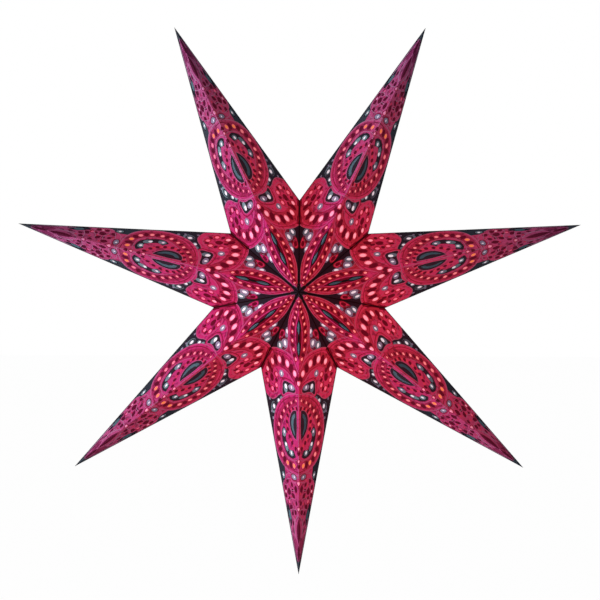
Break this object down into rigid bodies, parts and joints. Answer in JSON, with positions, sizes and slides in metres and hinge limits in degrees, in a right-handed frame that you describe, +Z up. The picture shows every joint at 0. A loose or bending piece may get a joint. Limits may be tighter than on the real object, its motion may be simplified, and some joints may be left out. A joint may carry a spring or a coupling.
{
  "type": "paper star pendant lamp",
  "caption": "Folding star lantern of punched, printed card with ridged points, a closing seam at the top and a small screw lamp inside.",
  "frame": {"origin": "middle of the cord entry's mouth, on top of the lampholder just under the star's top valley", "axes": "+Z up along the cord entry, -Y out of the star's front, +X to the right seen from the front"},
  "size_m": [0.5832, 0.1826, 0.5687],
  "materials": {
    "punched_card": "matte",
    "plain_card": "matte",
    "hook_tape": "matte",
    "loop_tape": "matte",
    "white_plastic": "satin",
    "steatite": "matte",
    "brass": "satin",
    "solder": "satin",
    "black_glass": "gloss",
    "nickel": "satin",
    "opal_glass": "satin"
  },
  "bodies": {
    "lampholder": {"holder_cap": "white_plastic", "holder_skirt": "white_plastic", "contact_block": "steatite", "threaded_shell": "brass", "middle_contact": "brass"},
    "bulb": {"bulb_foot_contact": "solder", "bulb_insulator": "black_glass", "bulb_base": "nickel", "bulb_globe": "opal_glass"},
    "point_1_front_left": {"point_1_front_left": "punched_card", "seam_flap_1_front": "plain_card", "loop_dots_front": "loop_tape"},
    "point_1_front_right": {"point_1_front_right": "punched_card"},
    "point_1_back_left": {"point_1_back_left": "punched_card", "seam_flap_1_back": "plain_card", "loop_dots_back": "loop_tape"},
    "point_1_back_right": {"point_1_back_right": "punched_card"},
    "point_2_front_left": {"point_2_front_left": "punched_card"},
    "point_2_front_right": {"point_2_front_right": "punched_card"},
    "point_2_back_left": {"point_2_back_left": "punched_card"},
    "point_2_back_right": {"point_2_back_right": "punched_card"},
    "point_3_front_left": {"point_3_front_left": "punched_card"},
    "point_3_front_right": {"point_3_front_right": "punched_card"},
    "point_3_back_left": {"point_3_back_left": "punched_card"},
    "point_3_back_right": {"point_3_back_right": "punched_card"},
    "point_4_front_left": {"point_4_front_left": "punched_card"},
    "point_4_front_right": {"point_4_front_right": "punched_card"},
    "point_4_back_left": {"point_4_back_left": "punched_card"},
    "point_4_back_right": {"point_4_back_right": "punched_card"},
    "point_5_front_left": {"point_5_front_left": "punched_card"},
    "point_5_front_right": {"point_5_front_right": "punched_card"},
    "point_5_back_left": {"point_5_back_left": "punched_card"},
    "point_5_back_right": {"point_5_back_right": "punched_card"},
    "point_6_front_left": {"point_6_front_left": "punched_card"},
    "point_6_front_right": {"point_6_front_right": "punched_card"},
    "point_6_back_left": {"point_6_back_left": "punched_card"},
    "point_6_back_right": {"point_6_back_right": "punched_card"},
    "point_7_front_left": {"point_7_front_left": "punched_card"},
    "point_7_front_right": {"point_7_front_right": "punched_card", "seam_flap_7_front": "plain_card", "hook_dots_front": "hook_tape"},
    "point_7_back_left": {"point_7_back_left": "punched_card"},
    "point_7_back_right": {"point_7_back_right": "punched_card", "seam_flap_7_back": "plain_card", "hook_dots_back": "hook_tape"}
  },
  "joints": [
    {"name": "star_fold", "type": "hinge", "parent": "lampholder", "child": "point_4_front_left", "pos_m": [0, -0.04551, -0.23204], "axis": [0, -0.2932, 0.9561], "range_deg": [0, 30.3]},
    {"name": "point_4_right_fold", "type": "hinge", "parent": "lampholder", "child": "point_4_front_right", "pos_m": [0, -0.04551, -0.23204], "axis": [0, 0.2932, -0.9561], "range_deg": [0, 30.32]},
    {"name": "valley_4_5", "type": "hinge", "parent": "point_4_front_right", "child": "point_5_front_left", "pos_m": [-0.01985, -0.046, -0.12487], "axis": [0.306, -0.709, 0.6353], "range_deg": [0, 86.94]},
    {"name": "ridge_5", "type": "hinge", "parent": "point_5_front_left", "child": "point_5_front_right", "pos_m": [-0.11601, -0.04551, -0.17617], "axis": [-0.7475, 0.2932, -0.5961], "range_deg": [0, 60.62]},
    {"name": "valley_5_6", "type": "hinge", "parent": "point_5_front_right", "child": "point_6_front_left", "pos_m": [-0.0446, -0.046, -0.09383], "axis": [0.6875, -0.709, 0.1569], "range_deg": [0, 86.94]},
    {"name": "ridge_6", "type": "hinge", "parent": "point_6_front_left", "child": "point_6_front_right", "pos_m": [-0.14467, -0.04551, -0.05063], "axis": [-0.9321, 0.2932, 0.2127], "range_deg": [0, 60.62]},
    {"name": "valley_6_7", "type": "hinge", "parent": "point_6_front_right", "child": "point_7_front_left", "pos_m": [-0.03577, -0.046, -0.05513], "axis": [0.5513, -0.709, -0.4397], "range_deg": [0, 86.94]},
    {"name": "ridge_7", "type": "hinge", "parent": "point_7_front_left", "child": "point_7_front_right", "pos_m": [-0.06438, -0.04551, 0.05004], "axis": [-0.4148, 0.2932, 0.8614], "range_deg": [0, 60.62]},
    {"name": "valley_3_4", "type": "hinge", "parent": "point_4_front_left", "child": "point_3_front_right", "pos_m": [0.01985, -0.046, -0.12487], "axis": [0.306, 0.709, -0.6353], "range_deg": [0, 86.94]},
    {"name": "ridge_3", "type": "hinge", "parent": "point_3_front_right", "child": "point_3_front_left", "pos_m": [0.11601, -0.04551, -0.17617], "axis": [-0.7475, -0.2932, 0.5961], "range_deg": [0, 60.62]},
    {"name": "valley_2_3", "type": "hinge", "parent": "point_3_front_left", "child": "point_2_front_right", "pos_m": [0.0446, -0.046, -0.09383], "axis": [0.6875, 0.709, -0.1569], "range_deg": [0, 86.94]},
    {"name": "ridge_2", "type": "hinge", "parent": "point_2_front_right", "child": "point_2_front_left", "pos_m": [0.14467, -0.04551, -0.05063], "axis": [-0.9321, -0.2932, -0.2127], "range_deg": [0, 60.62]},
    {"name": "valley_1_2", "type": "hinge", "parent": "point_2_front_left", "child": "point_1_front_right", "pos_m": [0.03577, -0.046, -0.05513], "axis": [0.5513, 0.709, 0.4397], "range_deg": [0, 86.94]},
    {"name": "ridge_1", "type": "hinge", "parent": "point_1_front_right", "child": "point_1_front_left", "pos_m": [0.06438, -0.04551, 0.05004], "axis": [-0.4148, -0.2932, -0.8614], "range_deg": [0, 60.62]},
    {"name": "edge_1_left", "type": "hinge", "parent": "point_1_front_left", "child": "point_1_back_left", "pos_m": [0.06508, 0, 0.09724], "axis": [0.5886, 0, 0.8084], "range_deg": [0, 58.01]},
    {"name": "edge_1_right", "type": "hinge", "parent": "point_1_front_right", "child": "point_1_back_right", "pos_m": [0.10085, 0, 0.08002], "axis": [-0.2651, 0, -0.9642], "range_deg": [0, 58.01]},
    {"name": "edge_2_left", "type": "hinge", "parent": "point_2_front_left", "child": "point_2_back_left", "pos_m": [0.18201, 0, -0.02175], "axis": [0.999, 0, 0.0439], "range_deg": [0, 58.01]},
    {"name": "edge_2_right", "type": "hinge", "parent": "point_2_front_right", "child": "point_2_back_right", "pos_m": [0.19084, 0, -0.06045], "axis": [-0.9191, 0, -0.3939], "range_deg": [0, 58.01]},
    {"name": "edge_3_left", "type": "hinge", "parent": "point_3_front_left", "child": "point_3_back_left", "pos_m": [0.16188, 0, -0.18735], "axis": [0.6572, 0, -0.7537], "range_deg": [0, 58.01]},
    {"name": "edge_3_right", "type": "hinge", "parent": "point_3_front_right", "child": "point_3_back_right", "pos_m": [0.13712, 0, -0.21839], "axis": [-0.8811, 0, 0.473], "range_deg": [0, 58.01]},
    {"name": "edge_4_left", "type": "hinge", "parent": "point_4_front_left", "child": "point_4_back_left", "pos_m": [0.01985, 0, -0.27487], "axis": [-0.1795, 0, -0.9838], "range_deg": [0, 58.01]},
    {"name": "edge_4_right", "type": "hinge", "parent": "point_4_front_right", "child": "point_4_back_right", "pos_m": [-0.01985, 0, -0.27487], "axis": [-0.1795, 0, 0.9838], "range_deg": [0, 58.01]},
    {"name": "edge_5_left", "type": "hinge", "parent": "point_5_front_left", "child": "point_5_back_left", "pos_m": [-0.13712, 0, -0.21839], "axis": [-0.8811, 0, -0.473], "range_deg": [0, 58.01]},
    {"name": "edge_5_right", "type": "hinge", "parent": "point_5_front_right", "child": "point_5_back_right", "pos_m": [-0.16188, 0, -0.18735], "axis": [0.6572, 0, 0.7537], "range_deg": [0, 58.01]},
    {"name": "edge_6_left", "type": "hinge", "parent": "point_6_front_left", "child": "point_6_back_left", "pos_m": [-0.19084, 0, -0.06045], "axis": [-0.9191, 0, 0.3939], "range_deg": [0, 58.01]},
    {"name": "edge_6_right", "type": "hinge", "parent": "point_6_front_right", "child": "point_6_back_right", "pos_m": [-0.18201, 0, -0.02175], "axis": [0.999, 0, -0.0439], "range_deg": [0, 58.01]},
    {"name": "edge_7_left", "type": "hinge", "parent": "point_7_front_left", "child": "point_7_back_left", "pos_m": [-0.10085, 0, 0.08002], "axis": [-0.2651, 0, 0.9642], "range_deg": [0, 58.01]},
    {"name": "edge_7_right", "type": "hinge", "parent": "point_7_front_right", "child": "point_7_back_right", "pos_m": [-0.06508, 0, 0.09724], "axis": [0.5886, 0, -0.8084], "range_deg": [0, 58.01]},
    {"name": "bulb_unscrew", "type": "slide", "parent": "lampholder", "child": "bulb", "axis": [0, 0, -1], "range_m": [0, 0.025]}
  ],
  "couplings": [
    {"joint": "point_4_right_fold", "follows": "star_fold", "ratio": 1},
    {"joint": "valley_4_5", "follows": "star_fold", "ratio": 2.869},
    {"joint": "ridge_5", "follows": "star_fold", "ratio": 2},
    {"joint": "valley_5_6", "follows": "star_fold", "ratio": 2.869},
    {"joint": "ridge_6", "follows": "star_fold", "ratio": 2},
    {"joint": "valley_6_7", "follows": "star_fold", "ratio": 2.869},
    {"joint": "ridge_7", "follows": "star_fold", "ratio": 2},
    {"joint": "valley_3_4", "follows": "star_fold", "ratio": 2.869},
    {"joint": "ridge_3", "follows": "star_fold", "ratio": 2},
    {"joint": "valley_2_3", "follows": "star_fold", "ratio": 2.869},
    {"joint": "ridge_2", "follows": "star_fold", "ratio": 2},
    {"joint": "valley_1_2", "follows": "star_fold", "ratio": 2.869},
    {"joint": "ridge_1", "follows": "star_fold", "ratio": 2},
    {"joint": "edge_1_left", "follows": "star_fold", "ratio": 1.914},
    {"joint": "edge_1_right", "follows": "star_fold", "ratio": 1.914},
    {"joint": "edge_2_left", "follows": "star_fold", "ratio": 1.914},
    {"joint": "edge_2_right", "follows": "star_fold", "ratio": 1.914},
    {"joint": "edge_3_left", "follows": "star_fold", "ratio": 1.914},
    {"joint": "edge_3_right", "follows": "star_fold", "ratio": 1.914},
    {"joint": "edge_4_left", "follows": "star_fold", "ratio": 1.914},
    {"joint": "edge_4_right", "follows": "star_fold", "ratio": 1.914},
    {"joint": "edge_5_left", "follows": "star_fold", "ratio": 1.914},
    {"joint": "edge_5_right", "follows": "star_fold", "ratio": 1.914},
    {"joint": "edge_6_left", "follows": "star_fold", "ratio": 1.914},
    {"joint": "edge_6_right", "follows": "star_fold", "ratio": 1.914},
    {"joint": "edge_7_left", "follows": "star_fold", "ratio": 1.914},
    {"joint": "edge_7_right", "follows": "star_fold", "ratio": 1.914}
  ]
}
